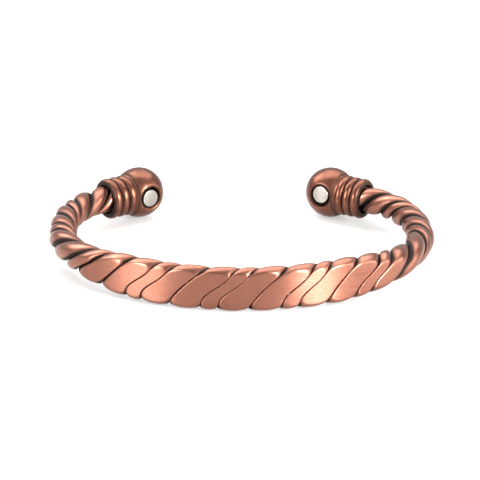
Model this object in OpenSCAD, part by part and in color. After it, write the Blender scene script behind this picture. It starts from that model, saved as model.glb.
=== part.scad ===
// Magnetic bracelet: an open cuff of three twisted copper wires, rolled flat
// over the front, with a ribbed ball end and a disc magnet on each tip.
// +Z is up, the flat front faces -Y, and the open gap faces +Y.

/* [Bend of the cuff] */
// Half width on the left, to the middle of the rope
left_half_w = 30.5; // [26:0.1:38]
// Half width on the right, to the middle of the rope
right_half_w = 32.7; // [26:0.1:38]
// Depth from the widest place to the front, to the middle of the rope
front_depth = 28.2; // [24:0.1:34]
// Depth that the back half would have if it closed
back_depth = 26; // [23:0.1:34]
// Fullness of the front half, where 2 is an ellipse
front_fullness = 1.92; // [1.8:0.02:2.3]
// Fullness of the back half, where 2 is an ellipse
back_fullness = 2.6; // [2:0.02:2.9]
// Angle round the bend from the front to the left collar's mouth
left_mouth_angle = 134.7; // [115:0.1:142]
// Angle round the bend from the front to the right collar's mouth
right_mouth_angle = 136.1; // [115:0.1:142]
// Turn of the left end in towards the wrist, beyond the bend itself
left_tuck = 4.5; // [0:0.5:12]
// Turn of the right end in towards the wrist, beyond the bend itself
right_tuck = 2; // [0:0.5:12]
// Length before each collar over which the end turns in
tuck_len = 6; // [3:0.5:12]

/* [Twisted rope] */
// Diameter over the round rope
rope_d = 5; // [3.8:0.1:5.6]
// Length along the rope of one whole turn of the wires
lay_length = 13.4; // [11:0.1:18]
// Share of a turn that each thick wire takes
thick_share = 0.395; // [0.37:0.005:0.43]
// Gap between neighbouring wires, measured along the rope
wire_gap = 0.3; // [0.26:0.01:0.5]
// Depth of the thin wire, from its crown inwards
thin_wire_d = 1.6; // [1:0.05:1.8]
// Width of the channel left open along the rope's middle
core_gap = 0.2; // [0.1:0.05:0.4]
// Turn of the wires about the rope at the front, in degrees
lay_start = 96; // [0:1:360]
// Length by which the twist was drawn out where the left bend starts, to within half a turn
left_slip = 4.8; // [0:0.1:6]
// Length by which the twist was drawn out where the right bend starts, to within half a turn
right_slip = 4; // [0:0.1:6]
// Part of a turn that the left wire ends stand past a whole number of turns from the front
left_end_turn = 0.026; // [0:0.002:1]
// Part of a turn that the right wire ends stand past a whole number of turns from the front
right_end_turn = 0.282; // [0:0.002:1]

/* [Rolled front] */
// Height over the crowns of the rolled strip
strip_h = 7.7; // [6:0.1:9]
// Thickness across the flats
strip_t = 2.8; // [2:0.1:4]
// Share of the strip's height that the flats take at their tallest
flat_share = 0.84; // [0.6:0.01:0.9]
// Length of the front that is rolled fully flat
flat_len = 34; // [20:1:50]
// Length over which the flat fades into the round rope at each end
fade_len = 22; // [12:1:28]
// Shift along the rope by which the rolling stretched the grooves over the flats
roll_shift = 0.3; // [0:0.05:0.6]
// Shift along the rope by which the rolls dragged the outer face to the left of the inner one
face_drag = 0.9; // [0:0.1:1.2]
// Further shift of the thin wire, which gives it its wavy edges
thin_wave = 0.1; // [0:0.05:0.4]

/* [Ball ends] */
// Diameter of the ball
ball_d = 9.2; // [8.6:0.1:12]
// Ribs on the collar
rib_count = 3; // [2:1:4]
// Thickness of one round rib
rib_d = 1.7; // [1.6:0.05:2]
// Distance from rib to rib
rib_pitch = 1.64; // [1.45:0.02:1.9]
// Wall of the collar at a rib's crown
rib_wall = 1.05; // [0.9:0.05:1.4]
// Wall of the collar between two ribs
groove_wall = 0.5; // [0.4:0.05:0.7]
// Clearance round the rope in the collar
rope_clearance = 0.15; // [0.1:0.05:0.3]
// Wall between the bottom of the collar's bore and the magnet's pocket
pocket_wall = 0.8; // [0.6:0.1:1.2]
// Room between the wire ends and the bottom of the bore
wire_end_room = 0.2; // [0.1:0.05:0.5]
// Turn of the right ball end about its collar
right_end_roll = 4.5; // [-10:0.5:10]

/* [Magnets] */
// Diameter of the disc magnet
magnet_d = 3.2; // [2.6:0.1:3.6]
// Thickness of the disc magnet
magnet_t = 2; // [1:0.1:2.4]
// Bevel on the magnet's rims
magnet_bevel = 0.15; // [0.05:0.05:0.3]
// Room round the magnet in its pocket
pocket_room = 0.35; // [0.3:0.05:0.6]
// Turn of each pocket from square to its collar, towards the collar
pocket_turn = 2; // [0:0.5:8]
// Bevel round the pocket's mouth
pocket_bevel = 0.3; // [0.1:0.05:0.5]
// How far the magnet's face lies below the pocket's rim
magnet_sunk = 0.25; // [0.1:0.05:0.6]
// Glue line under the magnet
glue_gap = 0.1; // [0.05:0.05:0.2]
// How far the left magnet sits below the middle of its pocket
left_magnet_drop = 0.2; // [0:0.05:0.25]
// How far the right magnet sits above the middle of its pocket
right_magnet_rise = 0.2; // [0:0.05:0.25]

/* [Hidden] */
$fn = 96;

// The bend runs from the left collar's mouth to the right one.
// Angles go round it from the front, and runs are lengths along it from there.
BEND_STEP = 1.5;
bend_angles = concat(
    [-left_mouth_angle],
    [for (i = [-floor(left_mouth_angle / BEND_STEP) : floor(right_mouth_angle / BEND_STEP)])
        i * BEND_STEP],
    [right_mouth_angle]);
bend = [for (a = bend_angles) bend_point(a)];
last = len(bend) - 1;
front = len([for (a = bend_angles) if (a < 0) a]);
bend_lengths = [for (i = 0, s = 0; i <= last;
    i = i + 1, s = s + (i > last ? 0 : norm(bend[i] - bend[i - 1]))) s];
runs = [for (s = bend_lengths) s - bend_lengths[front]];
run_left = runs[0];
run_right = runs[last];
x_by_run = [for (i = [0:last]) [runs[i], bend[i][0]]];
y_by_run = [for (i = [0:last]) [runs[i], bend[i][1]]];
heading_x_by_run = [for (i = [0:last]) [runs[i], heading(bend_angles[i])[0]]];
heading_y_by_run = [for (i = [0:last]) [runs[i], heading(bend_angles[i])[1]]];

function fullness(a) = cos(a) > 0 ? front_fullness : back_fullness;
function bend_point(a) = [
    sign(a) * (a < 0 ? left_half_w : right_half_w) * pow(abs(sin(a)), 2 / fullness(a)),
    -sign(cos(a)) * (cos(a) > 0 ? front_depth : back_depth) * pow(abs(cos(a)), 2 / fullness(a))];
function heading(a) = let (step = bend_point(a + 0.1) - bend_point(a - 0.1)) step / norm(step);
function bend_heading(s) = [lookup(s, heading_x_by_run), lookup(s, heading_y_by_run)];
function past_mouth(s) = min(s - run_left, 0) + max(s - run_right, 0);
function inward(h) = [-h[1], h[0]];
// Both ends turn in evenly over the tuck's length, and run straight from the mouth on
function turning(x) = x < 0 ? 0 : min(x / tuck_len, 1);
function turned_in(x) = turning(x) * (x < tuck_len ? x / 2 : x - tuck_len / 2);
function into_left(s) = run_left + tuck_len - s;
function into_right(s) = s - run_right + tuck_len;
function heading_at(s) = let (
        h = bend_heading(s),
        slope = tan(right_tuck) * turning(into_right(s)) - tan(left_tuck) * turning(into_left(s)),
        turned = h + slope * inward(h))
    turned / norm(turned);
function middle_at(s) = let (
        h = bend_heading(s),
        shift = tan(left_tuck) * turned_in(into_left(s)) + tan(right_tuck) * turned_in(into_right(s)))
    [lookup(s, x_by_run), lookup(s, y_by_run)] + past_mouth(s) * h + shift * inward(h);

// Collar, ball and pocket
rope_r = rope_d / 2;
ball_r = ball_d / 2;
bore_r = rope_r + rope_clearance;
rib_ring_r = bore_r + rib_wall - rib_d / 2;
RIB_SEAT = 0.1;
first_rib = sqrt(ball_r * ball_r - rib_ring_r * rib_ring_r) - RIB_SEAT;
last_rib = first_rib + (rib_count - 1) * rib_pitch;
mouth = last_rib + rib_d / 2;
pocket_r = magnet_d / 2 + pocket_room;
pocket_rim = sqrt(ball_r * ball_r - pocket_r * pocket_r);
magnet_face = pocket_rim - magnet_sunk;
bore_floor = pocket_r / cos(pocket_turn) + bore_r * tan(pocket_turn) + pocket_wall;
wire_past_mouth = mouth - bore_floor - wire_end_room;

// The wires lie the same way in both collars whatever the cuff's width: each side has a set
// part of a turn over a whole number of them, and the drawn-out stretch takes up the rest
left_wire_run = wire_past_mouth - run_left;
right_wire_run = wire_past_mouth + run_right;
function turns_over(length, slip, end_turn) = end_turn + round((length - slip) / lay_length - end_turn);
left_turns = turns_over(left_wire_run, left_slip, left_end_turn);
right_turns = turns_over(right_wire_run, right_slip, right_end_turn);
left_drawn = left_wire_run - left_turns * lay_length;
right_drawn = right_wire_run - right_turns * lay_length;

// The rope's section: round, and pressed to two flats where it was rolled.
// Around it 0 is the outer face and 90 the top.
EDGE_FULLNESS = 0.95;
EDGE_SHARPNESS = 16;
ROUND_LIMIT = 1.15;
// The wires' sides stand square to a straight spine, which ends this far from the strip's edges
SPINE_END = 1.5;
SPINE_SHARPNESS = 4;
edge_turn = sin(asin(EDGE_FULLNESS) * flat_share) / EDGE_FULLNESS;
press_reach = strip_t / 2 / sqrt(1 - edge_turn * edge_turn);

function ease(x) = let (c = max(0, min(1, x))) c * c * (3 - 2 * c);
function rolled(s) = 1 - ease((abs(s) - flat_len / 2) / fade_len);
// Where the slips of the lay start, and the length that each takes
LEFT_SLIP_START = 22;
LEFT_SLIP_LEN = 16;
RIGHT_SLIP_START = 30;
RIGHT_SLIP_LEN = 14;
function slipped(laid) = laid - left_drawn * ease((-laid - LEFT_SLIP_START) / LEFT_SLIP_LEN)
    + right_drawn * ease((laid - RIGHT_SLIP_START) / RIGHT_SLIP_LEN);
function press_limit(f) = (1 - f) * rope_r * ROUND_LIMIT + f * strip_t / 2;
function press(v, limit, sharpness = EDGE_SHARPNESS) =
    v / pow(1 + pow(abs(v / limit), sharpness), 1 / sharpness);
function reach_out(f, around) = ((1 - f) * rope_r + f * press_reach) * cos(around);
function strip_up(around) = strip_h / 2 * asin(EDGE_FULLNESS * sin(around)) / asin(EDGE_FULLNESS);
function reach_up(f, around) = (1 - f) * rope_r * sin(around) + f * strip_up(around);
function spine(f, around) = f * press(strip_up(around), strip_h / 2 - SPINE_END, SPINE_SHARPNESS);

// A wire is a row with these columns: its place in a turn, its share of the turn,
// how far out and in it reaches as shares of the rope's radius, and how far its
// two edges follow the thin wire's wave
LAY = 0;
SHARE = 1;
CROWN = 2;
ROOT = 3;
WAVE_BEFORE = 4;
WAVE_AFTER = 5;
thin_share = 1 - 2 * thick_share;
THIN_CROWN = 0.96;
thick_root = core_gap / rope_d;
thin_root = THIN_CROWN - thin_wire_d / rope_r;
thick_1 = [thick_share / 2, thick_share, 1, thick_root, 0, 1];
thick_2 = [thick_share * 1.5, thick_share, 1, thick_root, 1, 0];
thin = [thick_share * 2 + thin_share / 2, thin_share, THIN_CROWN, thin_root, 1, 1];

// Round a wire's own section 0 is its crown. The rolling sank the widest place of the
// section under the flats, and a knee on each side marks a flat's border.
FACE_SINK = 0.2;
KNEE_MIN = 35;
KNEE_MAX = 85;
RINGS_PER_TURN = 20;
// Last stretch of a wire, in turns, over which its rings square up to the rope's end
END_TURN = 0.5;
function waist(w, f, around) = (w[CROWN] + w[ROOT]) / 2
    - f * FACE_SINK * pow(cos(around), 2) * (w[CROWN] - w[ROOT]);
function knee(w, f, around) = let (
        middle = waist(w, f, around),
        share = (press_limit(f) / max(abs(reach_out(f, around)), 0.01) - middle) / (w[CROWN] - middle))
    max(KNEE_MIN, min(KNEE_MAX, acos(max(0, min(1, share)))));
function section_sides(bend_at, outer, inner) = concat(
    [for (j = [0:outer - 1]) bend_at * (2 * j / outer - 1)],
    [for (j = [0:inner - 1]) bend_at + (360 - 2 * bend_at) * j / inner]);
function wire_point(w, turn, side, slant) = let (
        half = (w[SHARE] - wire_gap / lay_length) / 2,
        turned = turn - slant * half * sin(side),
        around = 360 * turned + lay_start,
        laid = slipped(lay_length * (turned - w[LAY] + half * sin(side))),
        wave = w[WAVE_BEFORE] * (1 - sin(side)) / 2 + w[WAVE_AFTER] * (1 + sin(side)) / 2,
        leaning = (roll_shift + wave * thin_wave) * sin(2 * around) - face_drag * cos(around),
        s = laid + rolled(laid) * leaning,
        f = rolled(s),
        middle = waist(w, f, around),
        out = middle + (cos(side) > 0 ? w[CROWN] - middle : middle - w[ROOT]) * cos(side),
        outward = press(out * reach_out(f, around), press_limit(f)),
        core = spine(f, around),
        h = heading_at(s),
        m = middle_at(s))
    [m[0] + outward * h[1], m[1] - outward * h[0], core + out * (reach_up(f, around) - core)];

module wire(w, outer, inner) {
    sides = outer + inner;
    first_turn = w[LAY] - left_turns;
    last_turn = w[LAY] + right_turns;
    turns = concat(
        [first_turn],
        [for (i = [ceil(first_turn * RINGS_PER_TURN + 0.5) : floor(last_turn * RINGS_PER_TURN - 0.5)])
            i / RINGS_PER_TURN],
        [last_turn]);
    points = [for (turn = turns) let (
            slant = max(0, 1 - (turn - first_turn) / END_TURN, 1 - (last_turn - turn) / END_TURN),
            f = rolled(slipped(lay_length * (turn - w[LAY]))),
            bend_at = knee(w, f, 360 * turn + lay_start))
        for (side = section_sides(bend_at, outer, inner)) wire_point(w, turn, side, slant)];
    last_ring = len(turns) - 1;
    // Facing sides of two neighbours are split along like diagonals, which keeps them clear
    skin = [for (i = [0:last_ring - 1], j = [0:sides - 1]) let (
            a = i * sides + j,
            b = i * sides + (j + 1) % sides,
            after_crown = j >= outer / 2 && j < outer + inner / 2)
        each after_crown
            ? [[a, b + sides, b], [a, a + sides, b + sides]]
            : [[a, a + sides, b], [b, a + sides, b + sides]]];
    ends = [[for (j = [0:sides - 1]) j], [for (j = [sides - 1:-1:0]) last_ring * sides + j]];
    polyhedron(points, concat(skin, ends), convexity = 10);
}

// On a table the two balls and the front's lower edge touch it
mouth_left = middle_at(run_left);
mouth_right = middle_at(run_right);
ball_left = mouth_left - mouth * heading_at(run_left);
ball_right = mouth_right + mouth * heading_at(run_right);
ball_y = max(ball_left[1], ball_right[1]);
front_y = -front_depth - strip_t / 2;
lay_tilt = atan((ball_r - strip_h / 2) / (ball_y + front_depth));
module resting() {
    translate([(left_half_w - right_half_w) / 2, -(front_y + ball_y + ball_r) / 2,
            ball_r - ball_y * sin(lay_tilt)])
        rotate([lay_tilt, 0, 0]) children();
}

// Puts +X along the collar towards the ball's tip, with the ball's centre at
// the middle, and the wrist on the side -Y at the left and +Y at the right
module at_ball(centre, tip_heading) {
    translate([centre[0], centre[1], 0])
        rotate([0, 0, atan2(tip_heading[1], tip_heading[0])]) children();
}

// Puts +Z out through the middle of the pocket
module at_pocket(wrist_side, roll) {
    rotate([wrist_side * (roll - 90), 0, 0]) rotate([0, -pocket_turn, 0]) children();
}

module ball_end(wrist_side, roll) {
    difference() {
        union() {
            sphere(r = ball_r);
            rotate([0, -90, 0]) {
                cylinder(h = last_rib, r = bore_r + groove_wall);
                for (i = [0:rib_count - 1]) {
                    translate([0, 0, first_rib + i * rib_pitch])
                        rotate_extrude() translate([rib_ring_r, 0]) circle(d = rib_d);
                }
            }
        }
        rotate([0, -90, 0]) translate([0, 0, bore_floor]) cylinder(h = mouth, r = bore_r);
        at_pocket(wrist_side, roll) {
            translate([0, 0, magnet_face - magnet_t - glue_gap]) cylinder(h = ball_r, r = pocket_r);
            translate([0, 0, pocket_rim - pocket_bevel])
                cylinder(h = 2 * pocket_bevel, r1 = pocket_r, r2 = pocket_r + 2 * pocket_bevel);
        }
    }
}

module magnet(wrist_side, roll, rise) {
    magnet_r = magnet_d / 2;
    at_pocket(wrist_side, roll)
        translate([0, -wrist_side * rise, magnet_face - magnet_t])
            rotate_extrude() polygon([[0, 0], [magnet_r - magnet_bevel, 0], [magnet_r, magnet_bevel],
                [magnet_r, magnet_t - magnet_bevel], [magnet_r - magnet_bevel, magnet_t], [0, magnet_t]]);
}

module thick_wire_1() {
    color("#c07a5e") resting() wire(thick_1, 4, 8);
}

module thick_wire_2() {
    color("#c98468") resting() wire(thick_2, 4, 8);
}

module thin_wire() {
    color("#d39275") resting() wire(thin, 4, 6);
}

module ball_end_left() {
    color("#8a5040") resting() at_ball(ball_left, -heading_at(run_left)) ball_end(-1, 0);
}

module ball_end_right() {
    color("#8a5040") resting() at_ball(ball_right, heading_at(run_right)) ball_end(1, right_end_roll);
}

module magnet_left() {
    color("#d5d2cc") resting() at_ball(ball_left, -heading_at(run_left))
        magnet(-1, 0, -left_magnet_drop);
}

module magnet_right() {
    color("#d5d2cc") resting() at_ball(ball_right, heading_at(run_right))
        magnet(1, right_end_roll, right_magnet_rise);
}

thick_wire_1();
thick_wire_2();
thin_wire();
ball_end_left();
ball_end_right();
magnet_left();
magnet_right();
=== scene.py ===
import math

import bpy
import numpy as np
from mathutils import Matrix, Vector


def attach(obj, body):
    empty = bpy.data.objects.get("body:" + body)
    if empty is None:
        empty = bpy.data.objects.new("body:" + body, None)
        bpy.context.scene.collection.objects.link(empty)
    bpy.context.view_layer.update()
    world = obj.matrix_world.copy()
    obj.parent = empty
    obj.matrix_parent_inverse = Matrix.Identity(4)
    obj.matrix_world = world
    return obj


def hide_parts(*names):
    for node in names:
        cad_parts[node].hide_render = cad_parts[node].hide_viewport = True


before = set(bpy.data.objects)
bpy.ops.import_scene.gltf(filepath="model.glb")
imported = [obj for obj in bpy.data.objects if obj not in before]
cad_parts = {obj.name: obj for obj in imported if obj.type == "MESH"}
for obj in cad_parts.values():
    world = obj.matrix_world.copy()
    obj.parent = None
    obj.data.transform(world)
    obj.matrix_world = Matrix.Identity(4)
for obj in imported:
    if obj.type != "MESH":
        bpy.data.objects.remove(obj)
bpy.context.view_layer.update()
bpy.ops.object.select_all(action="DESELECT")

# Lengths are in millimetres and angles in degrees until a mesh is made
MM = 0.001

# Bend of the cuff, to the middle of the rope. The last few millimetres at each end are tucked in.
LEFT_HALF_W = 30.5
RIGHT_HALF_W = 32.7
FRONT_DEPTH = 28.2
BACK_DEPTH = 26.0
FRONT_FULLNESS = 1.92
BACK_FULLNESS = 2.6
LEFT_MOUTH_ANGLE = 134.7
RIGHT_MOUTH_ANGLE = 136.1
LEFT_TUCK = 4.5
RIGHT_TUCK = 2.0
TUCK_LEN = 6.0
BEND_STEP = 0.5

# Twisted rope. A thick wire takes its share of each turn, and the thin wire takes the rest.
ROPE_D = 5.0
LAY_LENGTH = 13.4
THICK_SHARE = 0.395
WIRE_GAP = 0.06
THIN_WIRE_D = 1.6
CORE_GAP = 0.1
LAY_START = 96.0

# Turns from the middle of the front to each end, and where the twist was drawn out to reach them
LEFT_TURNS = 5.026
RIGHT_TURNS = 5.282
LEFT_SLIP_START = 22.0
LEFT_SLIP_LEN = 16.0
RIGHT_SLIP_START = 30.0
RIGHT_SLIP_LEN = 14.0

# Rolled front: its height and thickness, the share of its height that is flat, the length that is
# fully rolled, and the length over which it fades to round on each side
STRIP_H = 7.7
STRIP_T = 2.8
FLAT_SHARE = 0.84
FLAT_LEN = 34.0
FADE_LEN = 22.0

# How far the rolls moved the wires along the strip: at its edges and on its faces, with a wave in
# the edges of the soft thin wire
ROLL_SHIFT = 0.3
FACE_DRAG = 0.9
THIN_WAVE = 0.21

# Opening of the slit on each side of the thin wire at the middle of a face
PINCH = 0.05
PINCH_LEAN = 15
PINCH_SHARPNESS = 12

# Widest level of a wire's section, as shares of its depth: lower on the faces, higher at the edges
FACE_SINK = 0.42
EDGE_RISE = 0.12

# Roundness of the strip's edges, and of the ridge inside it that the wires are squeezed round
EDGE_FULLNESS = 0.95
EDGE_SHARPNESS = 16
SPINE_END = 1.5
SPINE_SHARPNESS = 4
ROUND_LIMIT = 1.15
THIN_CROWN = 0.96

# Share of the rolls' limit at which the pressed face starts, and over which it becomes full
PRESS_START = 0.9
PRESS_FADE = 0.15

# Part of a turn over which a wire's section swings round to a square cut at its ends
END_TURN = 0.5

# Degrees round the rope that one face of the strip spans
FACE_TURN = 140

# Rings and sides of the finished wires
RINGS_PER_TURN = 88
WIRE_SIDES = 72

# Ball ends
BALL_D = 9.2
RIB_COUNT = 3
RIB_D = 1.7
RIB_PITCH = 1.64
RIB_WALL = 1.05
GROOVE_WALL = 0.5
ROPE_CLEARANCE = 0.15
POCKET_WALL = 0.8
WIRE_END_ROOM = 0.2
RIGHT_END_ROLL = 4.5
RIB_SEAT = 0.1
MOUTH_ROUNDING = 0.16
SHOULDER = 0.42
TURNED_SIDES = 96
SMOOTH_ANGLE = math.radians(32)

# Steps that round the pocket's rim, along the pocket and across it
LIP_STEPS = ((0.01, -0.07), (-0.03, -0.15), (-0.10, -0.22))

# Waviness of the casting, as the size and height of its waves
BALL_GRAIN, BALL_WAVINESS = 3.0, 0.08
COLLAR_GRAIN, COLLAR_WAVINESS = 1.6, 0.1

# Magnets
MAGNET_D = 3.2
MAGNET_T = 2.0
MAGNET_BEVEL = 0.15
POCKET_ROOM = 0.35
POCKET_TURN = math.radians(2)
POCKET_BEVEL = 0.3
MAGNET_SUNK = 0.25
GLUE_GAP = 0.1
LEFT_MAGNET_DROP = 0.2
RIGHT_MAGNET_RISE = 0.2

ROPE_R = ROPE_D / 2
BALL_R = BALL_D / 2
BORE_R = ROPE_R + ROPE_CLEARANCE
RIB_RING_R = BORE_R + RIB_WALL - RIB_D / 2
FIRST_RIB = math.sqrt(BALL_R ** 2 - RIB_RING_R ** 2) - RIB_SEAT
LAST_RIB = FIRST_RIB + (RIB_COUNT - 1) * RIB_PITCH
MOUTH = LAST_RIB + RIB_D / 2
POCKET_R = MAGNET_D / 2 + POCKET_ROOM
POCKET_RIM = math.sqrt(BALL_R ** 2 - POCKET_R ** 2)
MAGNET_FACE = POCKET_RIM - MAGNET_SUNK
BORE_FLOOR = POCKET_R / math.cos(POCKET_TURN) + BORE_R * math.tan(POCKET_TURN) + POCKET_WALL
WIRE_PAST_MOUTH = MOUTH - BORE_FLOOR - WIRE_END_ROOM


# The bend, as in the solids: points and headings by the angle round it from the front
def by_half(angle, front_value, back_value):
    return np.where(np.cos(np.radians(angle)) > 0, front_value, back_value)


def bend_point(angle):
    across, along = np.sin(np.radians(angle)), np.cos(np.radians(angle))
    power = 2 / by_half(angle, FRONT_FULLNESS, BACK_FULLNESS)
    x = np.sign(across) * np.where(angle < 0, LEFT_HALF_W, RIGHT_HALF_W) * abs(across) ** power
    y = -np.sign(along) * by_half(angle, FRONT_DEPTH, BACK_DEPTH) * abs(along) ** power
    return np.stack([x, y], -1)


def bend_heading(angle):
    step = bend_point(angle + 0.1) - bend_point(angle - 0.1)
    return step / np.linalg.norm(step, axis=-1, keepdims=True)


first_step = -math.floor(LEFT_MOUTH_ANGLE / BEND_STEP)
last_step = math.floor(RIGHT_MOUTH_ANGLE / BEND_STEP)
bend_angles = np.concatenate((
    [-LEFT_MOUTH_ANGLE],
    np.arange(first_step, last_step + 1) * BEND_STEP,
    [RIGHT_MOUTH_ANGLE]))
bend = bend_point(bend_angles)
headings = bend_heading(bend_angles)
steps = np.linalg.norm(np.diff(bend, axis=0), axis=1)
runs = np.concatenate(([0], np.cumsum(steps)))
runs = runs - runs[np.argmin(abs(bend_angles))]
RUN_LEFT, RUN_RIGHT = runs[0], runs[-1]


def look_up(s, table):
    return np.stack([np.interp(s, runs, column) for column in table.T], -1)


def inward(heading):
    return np.stack([-heading[..., 1], heading[..., 0]], -1)


def turning(x):
    return np.clip(x / TUCK_LEN, 0, 1)


def turned_in(x):
    return turning(x) * np.where(x < TUCK_LEN, x / 2, x - TUCK_LEN / 2)


def tuck(s, amount):
    left = math.tan(math.radians(LEFT_TUCK)) * amount(RUN_LEFT + TUCK_LEN - s)
    right = math.tan(math.radians(RIGHT_TUCK)) * amount(s - RUN_RIGHT + TUCK_LEN)
    return left, right


def heading_at(s):
    heading = look_up(s, headings)
    left, right = tuck(s, turning)
    turned = heading + (right - left)[..., None] * inward(heading)
    return turned / np.linalg.norm(turned, axis=-1, keepdims=True)


def middle_at(s):
    heading = look_up(s, headings)
    left, right = tuck(s, turned_in)
    past_mouth = np.minimum(s - RUN_LEFT, 0) + np.maximum(s - RUN_RIGHT, 0)
    return look_up(s, bend) + past_mouth[..., None] * heading + (left + right)[..., None] * inward(heading)


# The lay on the table: the two balls and the lower edge of the front touch it
mouth_left, mouth_right = middle_at(np.array([RUN_LEFT, RUN_RIGHT]))
tip_left, tip_right = heading_at(np.array([RUN_LEFT, RUN_RIGHT])) * [[-1], [1]]
ball_left = mouth_left + MOUTH * tip_left
ball_right = mouth_right + MOUTH * tip_right
ball_y = max(ball_left[1], ball_right[1])
front_y = -FRONT_DEPTH - STRIP_T / 2
lay_tilt = math.atan((BALL_R - STRIP_H / 2) / (ball_y + FRONT_DEPTH))
resting = Matrix.Translation((
    (LEFT_HALF_W - RIGHT_HALF_W) / 2,
    -(front_y + ball_y + BALL_R) / 2,
    BALL_R - ball_y * math.sin(lay_tilt))) @ Matrix.Rotation(lay_tilt, 4, "X")


# The rope's section: round, and pressed to two flats where it was rolled
def sin_deg(angle):
    return np.sin(np.radians(angle))


def cos_deg(angle):
    return np.cos(np.radians(angle))


edge_turn = math.sin(math.asin(EDGE_FULLNESS) * FLAT_SHARE) / EDGE_FULLNESS
PRESS_REACH = STRIP_T / 2 / math.sqrt(1 - edge_turn ** 2)


def ease(x):
    c = np.clip(x, 0, 1)
    return c * c * (3 - 2 * c)


def rolled(s):
    return 1 - ease((abs(s) - FLAT_LEN / 2) / FADE_LEN)


# Length by which the twist was drawn out at each bend
left_drawn = WIRE_PAST_MOUTH - RUN_LEFT - LEFT_TURNS * LAY_LENGTH
right_drawn = WIRE_PAST_MOUTH + RUN_RIGHT - RIGHT_TURNS * LAY_LENGTH


def slipped(laid):
    left = left_drawn * ease((-laid - LEFT_SLIP_START) / LEFT_SLIP_LEN)
    right = right_drawn * ease((laid - RIGHT_SLIP_START) / RIGHT_SLIP_LEN)
    return laid - left + right


def press_limit(f):
    return (1 - f) * ROPE_R * ROUND_LIMIT + f * STRIP_T / 2


def press(v, limit, sharpness=EDGE_SHARPNESS):
    return v / (1 + abs(v / limit) ** sharpness) ** (1 / sharpness)


def reach_out(f, around):
    return ((1 - f) * ROPE_R + f * PRESS_REACH) * cos_deg(around)


def strip_up(around):
    return STRIP_H / 2 * np.arcsin(EDGE_FULLNESS * sin_deg(around)) / math.asin(EDGE_FULLNESS)


def reach_up(f, around):
    return (1 - f) * ROPE_R * sin_deg(around) + f * strip_up(around)


class Wire:
    """A wire of the twist: its place and share of a turn, how far out and in it reaches as shares
    of the rope's radius, and how far its two edges follow the thin wire's wave."""

    def __init__(self, lay, share, crown, root, wave_before, wave_after):
        self.lay = lay
        self.share = share
        self.crown = crown
        self.root = root
        self.wave_before = wave_before
        self.wave_after = wave_after


THIN_SHARE = 1 - 2 * THICK_SHARE
THICK_ROOT = CORE_GAP / ROPE_D
WIRES = {
    "thick_wire_1": Wire(THICK_SHARE / 2, THICK_SHARE, 1, THICK_ROOT, 0, 1),
    "thick_wire_2": Wire(THICK_SHARE * 1.5, THICK_SHARE, 1, THICK_ROOT, 1, 0),
    "thin_wire": Wire(THICK_SHARE * 2 + THIN_SHARE / 2, THIN_SHARE, THIN_CROWN,
                      THIN_CROWN - THIN_WIRE_D / ROPE_R, 1, 1),
}


def wire_points(wire, turn, side, slant):
    """Points of a wire in the rope's own frame, with the run along the rope, how deep each point
    lies under the rope's outer skin, and how hard it was pressed by the rolls."""
    half = (wire.share - WIRE_GAP / LAY_LENGTH) / 2
    turned = turn - slant * half * sin_deg(side)
    around = 360 * turned + LAY_START
    laid = slipped(LAY_LENGTH * (turned - wire.lay + half * sin_deg(side)))
    wave = wire.wave_before * (1 - sin_deg(side)) / 2 + wire.wave_after * (1 + sin_deg(side)) / 2
    rippled = wave * THIN_WAVE * (sin_deg(2 * around) + sin_deg(4 * around))
    leaning = ROLL_SHIFT * sin_deg(2 * around) + rippled - FACE_DRAG * cos_deg(around)
    middle_of_face = abs(cos_deg(around - PINCH_LEAN * sin_deg(side)))
    pinched = sin_deg(side) * wave * PINCH * middle_of_face ** PINCH_SHARPNESS
    s = laid + rolled(laid) * (leaning - pinched)
    f = rolled(s)
    sink = f * (FACE_SINK * cos_deg(around) ** 2 - EDGE_RISE * sin_deg(around) ** 2)
    waist = (wire.crown + wire.root) / 2 - sink * (wire.crown - wire.root)
    out = waist + np.where(abs(side) < 90, wire.crown - waist, waist - wire.root) * cos_deg(side)
    limit = press_limit(f)
    free = out * reach_out(f, around)
    outward = press(free, limit)
    spine = f * press(strip_up(around), STRIP_H / 2 - SPINE_END, SPINE_SHARPNESS)
    up = spine + out * (reach_up(f, around) - spine)
    heading = heading_at(s)
    middle = middle_at(s)
    points = np.stack([
        middle[..., 0] + outward * heading[..., 1],
        middle[..., 1] - outward * heading[..., 0],
        up], -1)
    skin_out = press(wire.crown * reach_out(f, around), limit)
    skin_up = spine + wire.crown * (reach_up(f, around) - spine)
    depth = np.hypot(skin_out - outward, skin_up - up)
    pressed = f * np.clip((abs(free) / limit - PRESS_START) / PRESS_FADE, 0, 1)
    return points, s, around, depth, pressed


def point_attribute(mesh, name, values):
    layer = mesh.attributes.new(name, "FLOAT", "POINT")
    layer.data.foreach_set("value", np.asarray(values, np.float32).ravel())


def corner_map(mesh, name, per_corner):
    layer = mesh.uv_layers.new(name=name)
    layer.data.foreach_set("uv", np.asarray(per_corner, np.float32).ravel())


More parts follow.
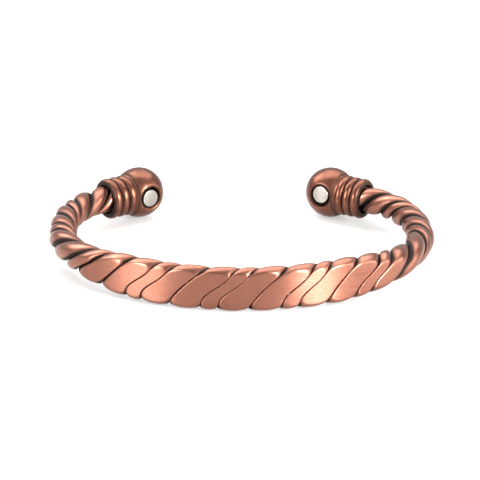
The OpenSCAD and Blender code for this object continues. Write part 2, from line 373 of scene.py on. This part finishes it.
def make_wire(node, wire):
    """Sweeps a wire along its lay. A hand tool can't follow the twist through the rolled front."""
    first_turn = wire.lay - LEFT_TURNS
    last_turn = wire.lay + RIGHT_TURNS
    rings = int((last_turn - first_turn) * RINGS_PER_TURN) + 1
    turn = np.linspace(first_turn, last_turn, rings)[:, None]
    side = np.arange(WIRE_SIDES)[None, :] * 360 / WIRE_SIDES - 180
    slant = np.maximum(1 - (turn - first_turn) / END_TURN, 1 - (last_turn - turn) / END_TURN)
    points, s, around, depth, pressed = wire_points(wire, turn, side, np.maximum(slant, 0))

    # Four corners of each skin panel, by ring and side, then the two end faces
    ring, column = np.mgrid[0:rings - 1, 0:WIRE_SIDES]
    ring_at = np.stack([ring, ring, ring + 1, ring + 1], -1)
    column_at = np.stack([column, column + 1, column + 1, column], -1)
    panels = ring_at * WIRE_SIDES + column_at % WIRE_SIDES
    first_face = np.arange(WIRE_SIDES)[::-1]
    last_face = np.arange(WIRE_SIDES) + (rings - 1) * WIRE_SIDES
    mesh = bpy.data.meshes.new(node + "_copper")
    flat_points = points.reshape(-1, 3)
    mesh.from_pydata((flat_points * MM).tolist(), [],
                     panels.reshape(-1, 4).tolist() + [first_face.tolist(), last_face.tolist()])
    mesh.transform(Matrix.Translation(resting.translation * MM) @ resting.to_3x3().to_4x4())

    point_attribute(mesh, "depth", depth)
    point_attribute(mesh, "pressed", pressed)
    # Two maps in millimetres: across and along the strip's brushing, and round and along the wire
    corners = np.concatenate([panels.ravel(), first_face, last_face])
    columns = np.concatenate([column_at.ravel(), first_face, np.arange(WIRE_SIDES)])
    across_strip = np.broadcast_to(around, depth.shape).ravel() * STRIP_H / FACE_TURN
    corner_map(mesh, "brushing", np.stack([across_strip[corners], s.ravel()[corners]], -1))
    round_wire = columns / WIRE_SIDES * math.pi * ROPE_R
    along_wire = (turn * math.hypot(LAY_LENGTH, math.pi * ROPE_R)).ravel()[corners // WIRE_SIDES]
    corner_map(mesh, "drawing", np.stack([round_wire, along_wire], -1))
    mesh.shade_smooth()
    piece = bpy.data.objects.new(node + "_copper", mesh)
    bpy.context.scene.collection.objects.link(piece)
    return piece


# Ball ends, modelled once round the collar and copied. Here the collar runs to -X and the
# pocket opens to +Y.
def arc(centre_z, centre_r, radius, start, end, count):
    """Points (z, r) on an arc, by angles from the axis' own direction."""
    angles = [math.radians(start + (end - start) * i / count) for i in range(count + 1)]
    return [(centre_z + radius * math.cos(a), centre_r + radius * math.sin(a)) for a in angles]


def turned_body(name, profile):
    """Extrudes a disc ring by ring along a profile of (z, r), as a turner shapes a round body."""
    (z, r), *rest = profile
    bpy.ops.mesh.primitive_circle_add(vertices=TURNED_SIDES, radius=r * MM, fill_type="NGON",
                                      location=(0, 0, z * MM))
    piece = bpy.context.object
    piece.name = name
    bpy.ops.object.transform_apply(location=True)
    bpy.ops.object.mode_set(mode="EDIT")
    for next_z, next_r in rest:
        bpy.ops.mesh.extrude_region_move(TRANSFORM_OT_translate={"value": (0, 0, (next_z - z) * MM)})
        share = next_r / r
        bpy.ops.transform.resize(value=(share, share, 1), center_override=(0, 0, 0))
        z, r = next_z, next_r
    bpy.ops.mesh.select_all(action="SELECT")
    bpy.ops.mesh.normals_make_consistent(inside=False)
    bpy.ops.object.mode_set(mode="OBJECT")
    return piece


def cast_unevenness(piece, grain, height):
    """The slight waviness that a casting has, in millimetres."""
    texture = bpy.data.textures.new(piece.name + "_casting", "CLOUDS")
    texture.noise_scale = grain * MM
    modifier = piece.modifiers.new("casting", "DISPLACE")
    modifier.texture = texture
    modifier.texture_coords = "LOCAL"
    modifier.strength = height * MM
    modifier.mid_level = 0.5
    bpy.context.view_layer.objects.active = piece
    bpy.ops.object.modifier_apply(modifier="casting")


def cut_or_join(piece, tool, operation):
    modifier = piece.modifiers.new(operation, "BOOLEAN")
    modifier.operation = operation
    modifier.solver = "EXACT"
    modifier.object = tool
    bpy.context.view_layer.objects.active = piece
    bpy.ops.object.modifier_apply(modifier=operation)
    bpy.data.objects.remove(tool)


def make_ball():
    shoulder_r = POCKET_R + SHOULDER
    shoulder_angle = math.degrees(math.asin(shoulder_r / BALL_R))
    pocket_floor = MAGNET_FACE - MAGNET_T - GLUE_GAP
    chamfer_foot = POCKET_RIM - POCKET_BEVEL
    ball_side = arc(0, 0, BALL_R, 179, shoulder_angle, 60)
    lip_z, lip_r = ball_side[-1]
    rounding = [(lip_z + along, lip_r + across) for along, across in LIP_STEPS]
    well = [
        (chamfer_foot + 0.08, POCKET_R + 0.05),
        (chamfer_foot - 0.04, POCKET_R),
        (pocket_floor, POCKET_R),
        (pocket_floor, 0.05)]
    return turned_body("ball", ball_side + rounding + well)


def make_collar():
    root_r = BORE_R + GROOVE_WALL
    half_groove = math.degrees(math.acos(RIB_PITCH / RIB_D))
    profile = [(0, root_r)]
    for i in range(RIB_COUNT):
        centre = FIRST_RIB + i * RIB_PITCH
        start = 180 - half_groove if i else 150
        end = half_groove if i < RIB_COUNT - 1 else 0
        profile += arc(centre, RIB_RING_R, RIB_D / 2, start, end, 14)
    profile.append((MOUTH, 0.05))
    return turned_body("collar", profile)


def make_bore_tool():
    lip = MOUTH_ROUNDING
    flare = [(MOUTH - lip + lip * math.sin(a), BORE_R + lip - lip * math.cos(a))
             for a in np.radians([0, 22, 45, 68, 90])]
    return turned_body("bore_tool", [(BORE_FLOOR, BORE_R), *flare, (MOUTH + 1, BORE_R + lip)])


def lay_along_collar(piece):
    """Turns +Z, the axis that a round body is made on, to -X."""
    piece.data.transform(Matrix.Rotation(math.radians(-90), 4, "Y"))


def open_towards_wrist(piece):
    """Turns +Z, the axis that a round body is made on, to +Y and a little towards the collar."""
    piece.data.transform(Matrix.Rotation(POCKET_TURN, 4, "Z") @ Matrix.Rotation(math.radians(-90), 4, "X"))


def make_ball_end():
    end = make_ball()
    open_towards_wrist(end)
    cast_unevenness(end, BALL_GRAIN, BALL_WAVINESS)
    collar = make_collar()
    lay_along_collar(collar)
    cast_unevenness(collar, COLLAR_GRAIN, COLLAR_WAVINESS)
    cut_or_join(end, collar, "UNION")
    bore_tool = make_bore_tool()
    lay_along_collar(bore_tool)
    cut_or_join(end, bore_tool, "DIFFERENCE")
    return end


def patina_and_shade_on_end(mesh):
    """Marks where the dark finish was left: the grooves, the neck, and the collar's rim and bore, as
    patina; and the pocket's wall, as painted shade round the magnet. The polishing wheel reached the rest."""
    at = np.empty(len(mesh.vertices) * 3, np.float32)
    mesh.vertices.foreach_get("co", at)
    x, y, z = at.reshape(-1, 3).T / MM
    from_axis = np.hypot(y, z)
    crest = BORE_R + RIB_WALL
    on_collar = np.clip((-x - FIRST_RIB + RIB_D / 2 + 0.1) / 0.3, 0, 1)
    groove = np.clip((crest - 0.1 - from_axis) / 0.36, 0, 1)
    from_neck = abs(-x - FIRST_RIB + RIB_D / 2)
    neck = np.clip(1 - (from_neck - 0.1) / 0.45, 0, 1) * (1 - on_collar)
    from_pocket_axis = np.hypot(x * math.cos(POCKET_TURN) + y * math.sin(POCKET_TURN), z)
    # The pocket's wall is painted dark as shade round the magnet
    pocket_wall_shade = (y > 0) & (from_pocket_axis < POCKET_R + 0.06) & (np.hypot(from_axis, x) < BALL_R - 0.1)
    return np.maximum.reduce([on_collar * groove, neck, pocket_wall_shade * 1.0])


def place_end(shape, name, centre, tip, roll):
    """A copy of the modelled end, with its own mesh, at one tip of the rope."""
    piece = bpy.data.objects.new(name, shape.data.copy())
    bpy.context.scene.collection.objects.link(piece)
    piece.data.transform(at_tip(centre, tip) @ Matrix.Rotation(math.radians(roll), 4, "X"))
    return piece


def at_tip(centre, tip):
    """The frame at a ball's centre, with +X on to the tip, for meshes in metres."""
    place = resting @ Matrix.Translation((centre[0], centre[1], 0))
    place = Matrix.Translation(place.translation * MM) @ place.to_3x3().to_4x4()
    return place @ Matrix.Rotation(math.atan2(tip[1], tip[0]), 4, "Z")


def make_magnet(name):
    """A disc with bevelled rims, its outer face towards +Y."""
    bpy.ops.mesh.primitive_cylinder_add(vertices=TURNED_SIDES, radius=MAGNET_D / 2 * MM,
                                        depth=MAGNET_T * MM)
    piece = bpy.context.object
    piece.name = name
    bpy.ops.object.mode_set(mode="EDIT")
    bpy.ops.mesh.select_mode(type="EDGE")
    bpy.ops.mesh.select_all(action="DESELECT")
    bpy.ops.object.mode_set(mode="OBJECT")
    for edge in piece.data.edges:
        ends = [piece.data.vertices[v].co.z for v in edge.vertices]
        edge.select = abs(ends[0] - ends[1]) < MAGNET_BEVEL * MM
    bpy.ops.object.mode_set(mode="EDIT")
    bpy.ops.mesh.bevel(offset=MAGNET_BEVEL * MM, segments=4, profile=0.5)
    bpy.ops.object.mode_set(mode="OBJECT")
    piece.data.transform(Matrix.Translation((0, 0, (MAGNET_FACE - MAGNET_T / 2) * MM)))
    open_towards_wrist(piece)
    bpy.ops.object.select_all(action="DESELECT")
    return piece


# Materials
def linear(hex_colour):
    """An sRGB hex colour as linear RGBA."""
    parts = [int(hex_colour[i:i + 2], 16) / 255 for i in (1, 3, 5)]
    return [c / 12.92 if c <= 0.04045 else ((c + 0.055) / 1.055) ** 2.4 for c in parts] + [1.0]


def add(tree, kind, inputs=(), **settings):
    """Adds a node with its settings, and fills or links each (input, value)."""
    node = tree.nodes.new("ShaderNode" + kind)
    for name, value in settings.items():
        setattr(node, name, value)
    for name, value in inputs:
        if isinstance(value, bpy.types.NodeSocket):
            tree.links.new(value, node.inputs[name])
        else:
            node.inputs[name].default_value = value
    return node


# Socket numbers of a Mix node
FACTOR, FLOAT_A, FLOAT_B, COLOUR_A, COLOUR_B, MIXED = 0, 2, 3, 6, 7, 2


def new_material(name):
    material = bpy.data.materials.new(name)
    material.use_nodes = True
    tree = material.node_tree
    tree.nodes.clear()
    return material, tree


def brushed_copper():
    """Copper wire, twisted, rolled flat over the front, darkened all over and then brushed bright
    along the strip. The eye sees a satin pink metal with fine lines, and black in the grooves, which
    is patina deepened with painted shade."""
    material, tree = new_material("brushed_copper")
    strip = add(tree, "UVMap", uv_map="brushing").outputs["UV"]
    wire = add(tree, "UVMap", uv_map="drawing").outputs["UV"]
    pressed = add(tree, "Attribute", attribute_name="pressed").outputs["Fac"]
    depth = add(tree, "Attribute", attribute_name="depth").outputs["Fac"]
    object_at = add(tree, "TexCoord").outputs["Object"]

    # Brush lines 0.15 mm apart, coarser than the real ones so that they show, and 16 mm long
    strip_lines_at = add(tree, "Mapping", [("Vector", strip), ("Scale", (7.0, 0.06, 1))])
    strip_lines = add(tree, "TexNoise", [("Vector", strip_lines_at.outputs[0]), ("Scale", 1.0),
                                         ("Detail", 1.0), ("Roughness", 0.5)], noise_dimensions="2D")
    # Drawing lines along each round wire, 0.4 mm apart and 12 mm long
    wire_lines_at = add(tree, "Mapping", [("Vector", wire), ("Scale", (2.5, 0.08, 1))])
    wire_lines = add(tree, "TexNoise", [("Vector", wire_lines_at.outputs[0]), ("Scale", 1.0),
                                        ("Detail", 3.0), ("Roughness", 0.55)], noise_dimensions="2D")
    lines = add(tree, "Mix", [(FACTOR, pressed), (FLOAT_A, wire_lines.outputs["Fac"]),
                              (FLOAT_B, strip_lines.outputs["Fac"])], data_type="FLOAT")
    # Tone drifts over 4 mm, as hand brushing leaves it
    drift = add(tree, "TexNoise", [("Vector", object_at), ("Scale", 250.0), ("Detail", 2.0)])

    tone = add(tree, "MapRange", [("Value", drift.outputs["Fac"]), ("From Min", 0.3), ("From Max", 0.7)])
    copper = add(tree, "Mix", [(FACTOR, tone.outputs[0]), (COLOUR_A, linear("#8a5b4b")),
                               (COLOUR_B, linear("#936353"))], data_type="RGBA")
    line_tone = add(tree, "MapRange", [("Value", lines.outputs[0]), ("From Min", 0.35),
                                       ("From Max", 0.75), ("To Min", 0.0), ("To Max", 0.2)])
    lined = add(tree, "Mix", [(FACTOR, line_tone.outputs[0]), (COLOUR_A, copper.outputs[MIXED]),
                              (COLOUR_B, linear("#845040"))], data_type="RGBA")
    # Patina stays where the brush can't reach, and painted shade deepens it down the wires' sides into
    # the grooves: it sets in 0.1 mm under the skin
    ragged = add(tree, "Math", [(0, drift.outputs["Fac"]), (1, 0.2)], operation="MULTIPLY")
    patina_and_shade_depth = add(tree, "Math", [(0, depth), (1, ragged.outputs[0])], operation="SUBTRACT")
    groove_patina_and_shade = add(tree, "MapRange", [("Value", patina_and_shade_depth.outputs[0]), ("From Min", 0.0), ("From Max", 0.36)],
               interpolation_type="SMOOTHSTEP")
    colour = add(tree, "Mix", [(FACTOR, groove_patina_and_shade.outputs[0]), (COLOUR_A, lined.outputs[MIXED]),
                               (COLOUR_B, linear("#1c120f"))], data_type="RGBA")
    rough = add(tree, "MapRange", [("Value", lines.outputs[0]), ("From Min", 0.3), ("From Max", 0.7),
                                   ("To Min", 0.27), ("To Max", 0.36)])
    # Patina and painted shade are duller and less metallic
    dull = add(tree, "Mix", [(FACTOR, groove_patina_and_shade.outputs[0]), (FLOAT_A, rough.outputs[0]), (FLOAT_B, 0.6)],
               data_type="FLOAT")
    metallic_share = add(tree, "MapRange", [("Value", groove_patina_and_shade.outputs[0]), ("To Min", 1.0), ("To Max", 0.1)])
    bump = add(tree, "Bump", [("Height", lines.outputs[0]), ("Strength", 0.08), ("Distance", 0.00003)])
    tangent = add(tree, "Tangent", direction_type="UV_MAP", uv_map="brushing")
    shader = add(tree, "BsdfPrincipled", [
        ("Base Color", colour.outputs[MIXED]), ("Metallic", metallic_share.outputs[0]),
        ("Roughness", dull.outputs[0]), ("Specular IOR Level", 0.1), ("Anisotropic", 0.55),
        ("Normal", bump.outputs[0]), ("Tangent", tangent.outputs[0])])
    add(tree, "OutputMaterial", [("Surface", shader.outputs[0])])
    return material


def antiqued_cast_copper():
    """A copper-plated casting, darkened and then rubbed on a wheel. The eye sees brown copper with
    a soft sheen, bright on the crowns and near black in the grooves, where it is patina, and in the
    pocket, where it is painted shade."""
    material, tree = new_material("antiqued_cast_copper")
    object_at = add(tree, "TexCoord").outputs["Object"]
    # Patina in the hollows, and painted shade on the pocket's wall round the magnet
    patina_and_shade = add(tree, "Attribute", attribute_name="patina_and_shade").outputs["Fac"]
    # Cloudy patches of the dark finish, 2 mm across
    clouds = add(tree, "TexNoise", [("Vector", object_at), ("Scale", 450.0), ("Detail", 4.0),
                                    ("Roughness", 0.6)])
    # Casting grain of 0.15 mm
    grain = add(tree, "TexNoise", [("Vector", object_at), ("Scale", 6500.0), ("Detail", 2.0)])
    spread = add(tree, "MapRange", [("Value", clouds.outputs["Fac"]), ("From Min", 0.35),
                                    ("From Max", 0.7), ("To Min", -0.15), ("To Max", 0.3)])
    amount = add(tree, "Math", [(0, patina_and_shade), (1, spread.outputs[0])], operation="ADD", use_clamp=True)
    rubbed = add(tree, "Mix", [(FACTOR, clouds.outputs["Fac"]), (COLOUR_A, linear("#805342")),
                               (COLOUR_B, linear("#5e3a2e"))], data_type="RGBA")
    colour = add(tree, "Mix", [(FACTOR, amount.outputs[0]), (COLOUR_A, rubbed.outputs[MIXED]),
                               (COLOUR_B, linear("#2b1f1b"))], data_type="RGBA")
    rough = add(tree, "MapRange", [("Value", amount.outputs[0]), ("To Min", 0.3), ("To Max", 0.55)])
    metallic_share = add(tree, "MapRange", [("Value", amount.outputs[0]), ("To Min", 1.0), ("To Max", 0.3)])
    bump = add(tree, "Bump", [("Height", grain.outputs["Fac"]), ("Strength", 0.12),
                              ("Distance", 0.00002)])
    shader = add(tree, "BsdfPrincipled", [
        ("Base Color", colour.outputs[MIXED]), ("Metallic", metallic_share.outputs[0]),
        ("Roughness", rough.outputs[0]), ("Specular IOR Level", 0.1), ("Normal", bump.outputs[0])])
    add(tree, "OutputMaterial", [("Surface", shader.outputs[0])])
    return material


def nickel_plated_magnet():
    """A pressed magnet with a tumbled nickel plate. The eye sees a pale warm grey with faint scuffs."""
    material, tree = new_material("nickel_plated_magnet")
    object_at = add(tree, "TexCoord").outputs["Object"]
    scuffs = add(tree, "TexNoise", [("Vector", object_at), ("Scale", 1200.0), ("Detail", 6.0),
                                    ("Roughness", 0.7)])
    colour = add(tree, "Mix", [(FACTOR, scuffs.outputs["Fac"]), (COLOUR_A, linear("#918c85")),
                               (COLOUR_B, linear("#837e77"))], data_type="RGBA")
    rough = add(tree, "MapRange", [("Value", scuffs.outputs["Fac"]), ("From Min", 0.3),
                                   ("From Max", 0.7), ("To Min", 0.3), ("To Max", 0.45)])
    bump = add(tree, "Bump", [("Height", scuffs.outputs["Fac"]), ("Strength", 0.15),
                              ("Distance", 0.00002)])
    shader = add(tree, "BsdfPrincipled", [
        ("Base Color", colour.outputs[MIXED]), ("Metallic", 1.0), ("Roughness", rough.outputs[0]),
        ("Normal", bump.outputs[0])])
    add(tree, "OutputMaterial", [("Surface", shader.outputs[0])])
    return material


# Assembly
def shade_softly(piece):
    piece.select_set(True)
    bpy.context.view_layer.objects.active = piece
    bpy.ops.object.shade_smooth_by_angle(angle=SMOOTH_ANGLE)
    piece.select_set(False)


def finish_piece(piece, node, material):
    piece.data.materials.clear()
    piece.data.materials.append(material)
    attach(piece, "root")
    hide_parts(node)


copper = brushed_copper()
for node, wire in WIRES.items():
    finish_piece(make_wire(node, wire), node, copper)

cast = antiqued_cast_copper()
end_shape = make_ball_end()
# Patina in the hollows, and painted shade on the pocket's wall
point_attribute(end_shape.data, "patina_and_shade", patina_and_shade_on_end(end_shape.data))
ends = {
    "ball_end_left": place_end(end_shape, "ball_end_left_cast", ball_left, tip_left, 180),
    "ball_end_right": place_end(end_shape, "ball_end_right_cast", ball_right, tip_right, RIGHT_END_ROLL),
}
bpy.data.objects.remove(end_shape)
for node, piece in ends.items():
    finish_piece(piece, node, cast)
    shade_softly(piece)

nickel = nickel_plated_magnet()
magnet_places = {
    "magnet_left": at_tip(ball_left, tip_left)
    @ Matrix.Translation((0, 0, -LEFT_MAGNET_DROP * MM)) @ Matrix.Rotation(math.pi, 4, "X"),
    "magnet_right": at_tip(ball_right, tip_right)
    @ Matrix.Rotation(math.radians(RIGHT_END_ROLL), 4, "X")
    @ Matrix.Translation((0, 0, RIGHT_MAGNET_RISE * MM)),
}
for node, place in magnet_places.items():
    piece = make_magnet(node + "_disc")
    piece.data.transform(place)
    finish_piece(piece, node, nickel)
    shade_softly(piece)


# Floor, lights and camera
def make_floor():
    """A sheet of white paper on a light table: lit from below, so that shadows stay faint."""
    bpy.ops.mesh.primitive_plane_add(size=1.6)
    floor = bpy.context.object
    floor.name = "floor"
    material, tree = new_material("white_paper")
    shader = add(tree, "BsdfPrincipled", [
        ("Base Color", linear("#aaaaaa")), ("Roughness", 0.22), ("Emission Color", linear("#ffffff")),
        ("Emission Strength", 0.4)])
    add(tree, "OutputMaterial", [("Surface", shader.outputs[0])])
    floor.data.materials.append(material)
    floor.select_set(False)


def softbox(name, azimuth, elevation, distance, width, height, power):
    """An area light aimed at the cuff. Azimuth 0 is in front of it and 90 to its right."""
    a, e = math.radians(azimuth), math.radians(elevation)
    back = Vector((math.sin(a) * math.cos(e), -math.cos(a) * math.cos(e), math.sin(e)))
    light = bpy.data.lights.new(name, "AREA")
    light.shape = "RECTANGLE"
    light.size = width
    light.size_y = height
    light.energy = power
    lamp = bpy.data.objects.new(name, light)
    lamp.location = back * distance
    lamp.rotation_euler = back.to_track_quat("Z", "Y").to_euler()
    bpy.context.scene.collection.objects.link(lamp)


# Name, azimuth, elevation, distance, width, height and power, in degrees, metres and watts
SOFTBOXES = (
    ("top_box", 180, 66, 0.6, 0.9, 0.5, 6.0),
    ("right_box", 44, 20, 0.5, 0.17, 0.28, 6.2),
    ("left_box", -57, 20, 0.5, 0.19, 0.28, 3.1),
    ("right_side_box", 84, 16, 0.6, 0.4, 0.3, 2.0),
    ("left_back_box", -125, 40, 0.6, 0.3, 0.3, 1.6),
)


def make_studio():
    make_floor()
    for box in SOFTBOXES:
        softbox(*box)
    world = bpy.data.worlds.new("studio")
    world.use_nodes = True
    world.node_tree.nodes["Background"].inputs["Color"].default_value = linear("#ffffff")
    world.node_tree.nodes["Background"].inputs["Strength"].default_value = 0.75
    bpy.context.scene.world = world
    bpy.context.scene.view_settings.view_transform = "Standard"


# The photo's camera: where it stands round the cuff, how it is rolled, and how far off centre
CAMERA_AZIMUTH = -2.10
CAMERA_ELEVATION = 18.14
CAMERA_ROLL = 0.787
CAMERA_RIGHT = -0.313
CAMERA_UP = 3.14
CAMERA_DISTANCE = 512.7
FOCAL_PIXELS = 2890.8
PHOTO_PIXELS = 480
SENSOR_W = 36.0


def make_camera():
    a, e = math.radians(CAMERA_AZIMUTH), math.radians(CAMERA_ELEVATION)
    right = Vector((math.cos(a), math.sin(a), 0))
    forward = Vector((-math.sin(a) * math.cos(e), math.cos(a) * math.cos(e), -math.sin(e)))
    up = right.cross(forward)
    data = bpy.data.cameras.new("camera")
    data.sensor_width = SENSOR_W
    data.lens = FOCAL_PIXELS * SENSOR_W / PHOTO_PIXELS
    data.clip_end = 20
    camera = bpy.data.objects.new("camera", data)
    aim = Matrix((right, up, -forward)).transposed().to_4x4()
    camera.matrix_world = Matrix.Translation(
        (CAMERA_RIGHT * right + CAMERA_UP * up - CAMERA_DISTANCE * forward) * MM
    ) @ aim @ Matrix.Rotation(math.radians(CAMERA_ROLL), 4, "Z")
    bpy.context.scene.collection.objects.link(camera)
    bpy.context.scene.camera = camera


make_studio()
make_camera()
